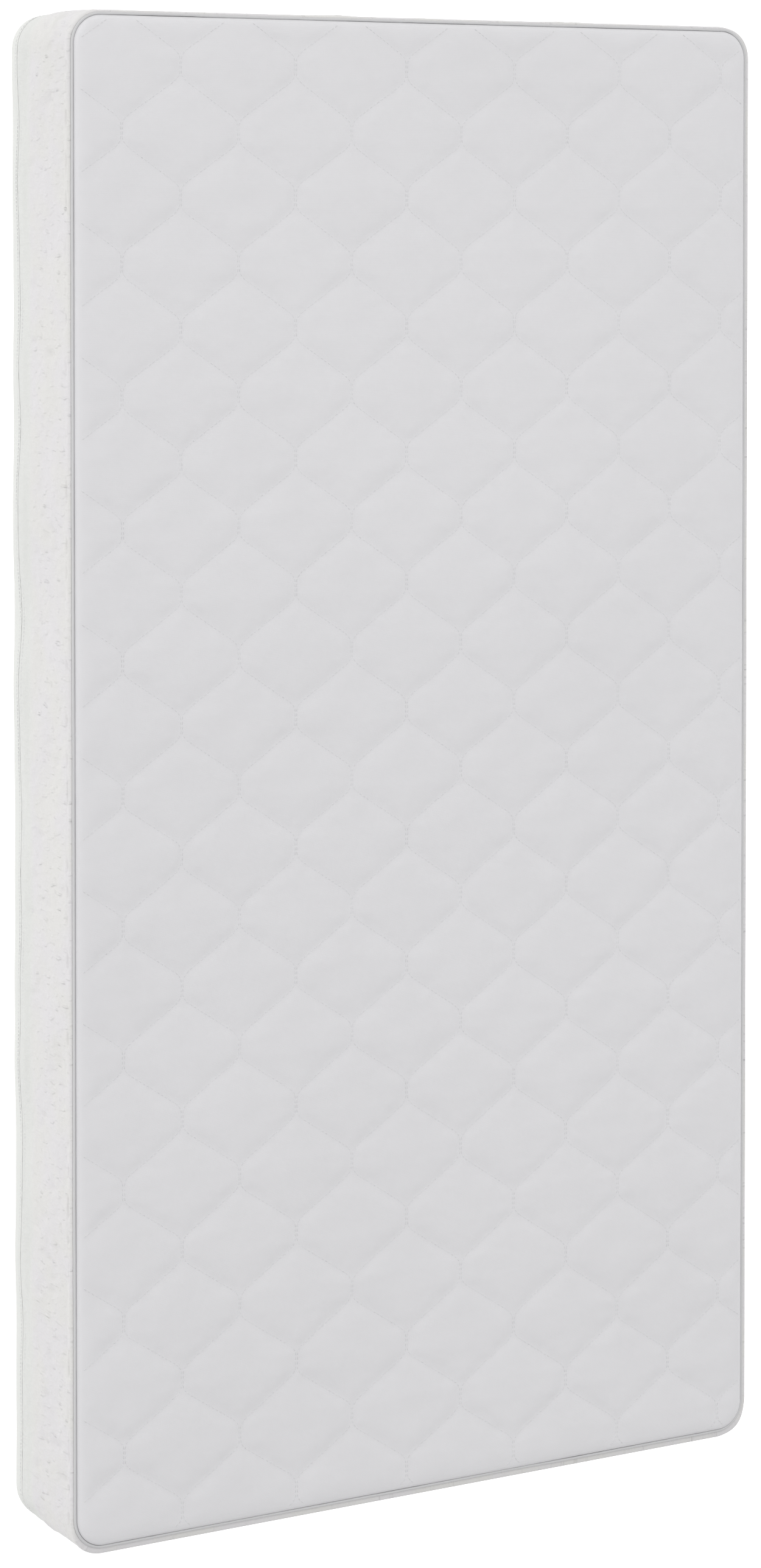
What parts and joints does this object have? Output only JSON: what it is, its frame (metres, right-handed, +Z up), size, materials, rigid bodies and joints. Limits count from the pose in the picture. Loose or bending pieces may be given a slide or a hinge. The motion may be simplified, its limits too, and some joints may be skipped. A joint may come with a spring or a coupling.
{
  "type": "memory foam mattress",
  "caption": "Cot-size memory foam mattress with a quilted knit top, thin grey piping, padded border and a zip-off two-part cover over a layered foam core.",
  "frame": {"origin": "middle of the underside, on the surface that the mattress rests on", "axes": "+X is the width, +Y the length with the head end at +Y, +Z up through the quilted sleeping face"},
  "size_m": [0.7, 1.32, 0.127],
  "materials": {
    "quilt_knit": "matte",
    "border_knit": "matte",
    "band_knit": "matte",
    "wadding": "matte",
    "barrier_felt": "matte",
    "membrane": "satin",
    "piping_grey": "matte",
    "piping_filler": "matte",
    "support_foam": "matte",
    "memory_foam": "matte",
    "label": "satin",
    "zip_tape": "matte",
    "zip_coil": "satin",
    "zip_metal": "satin",
    "glue": "satin"
  },
  "bodies": {
    "base_cover": {"base_panel": "band_knit", "base_band": "band_knit", "base_wadding": "wadding", "base_membrane": "membrane", "zip_tape_lower": "zip_tape", "zip_coil_lower": "zip_coil", "zip_stop": "zip_metal", "care_label": "label"},
    "foam_core": {"support_foam": "support_foam", "glue_film": "glue", "memory_foam": "memory_foam"},
    "top_cover": {"quilt_barrier": "barrier_felt", "quilt_fill": "wadding", "quilt_face": "quilt_knit", "piping_cord": "piping_filler", "piping_cover": "piping_grey", "border_fabric": "border_knit", "border_padding": "wadding", "border_barrier": "barrier_felt", "zip_tape_upper": "zip_tape", "zip_coil_upper": "zip_coil"},
    "zip_slider": {"slider_body": "zip_metal", "slider_crown": "zip_metal"},
    "zip_pull": {"pull_tab": "zip_metal"}
  },
  "joints": [
    {"name": "cover_lift", "type": "slide", "parent": "base_cover", "child": "top_cover", "axis": [0, 0, 1], "range_m": [0, 0.3]},
    {"name": "core_lift", "type": "slide", "parent": "base_cover", "child": "foam_core", "axis": [0, 0, 1], "range_m": [0, 0.135]},
    {"name": "slider_travel", "type": "slide", "parent": "base_cover", "child": "zip_slider", "axis": [0, 1, 0], "range_m": [0, 1.2]},
    {"name": "pull_swing", "type": "hinge", "parent": "zip_slider", "child": "zip_pull", "pos_m": [0.3488, -0.6, 0.022], "axis": [0, 0, 1], "range_deg": [0, 180]}
  ],
  "couplings": [
    {"joint": "core_lift", "follows": "cover_lift", "ratio": 0.45}
  ]
}
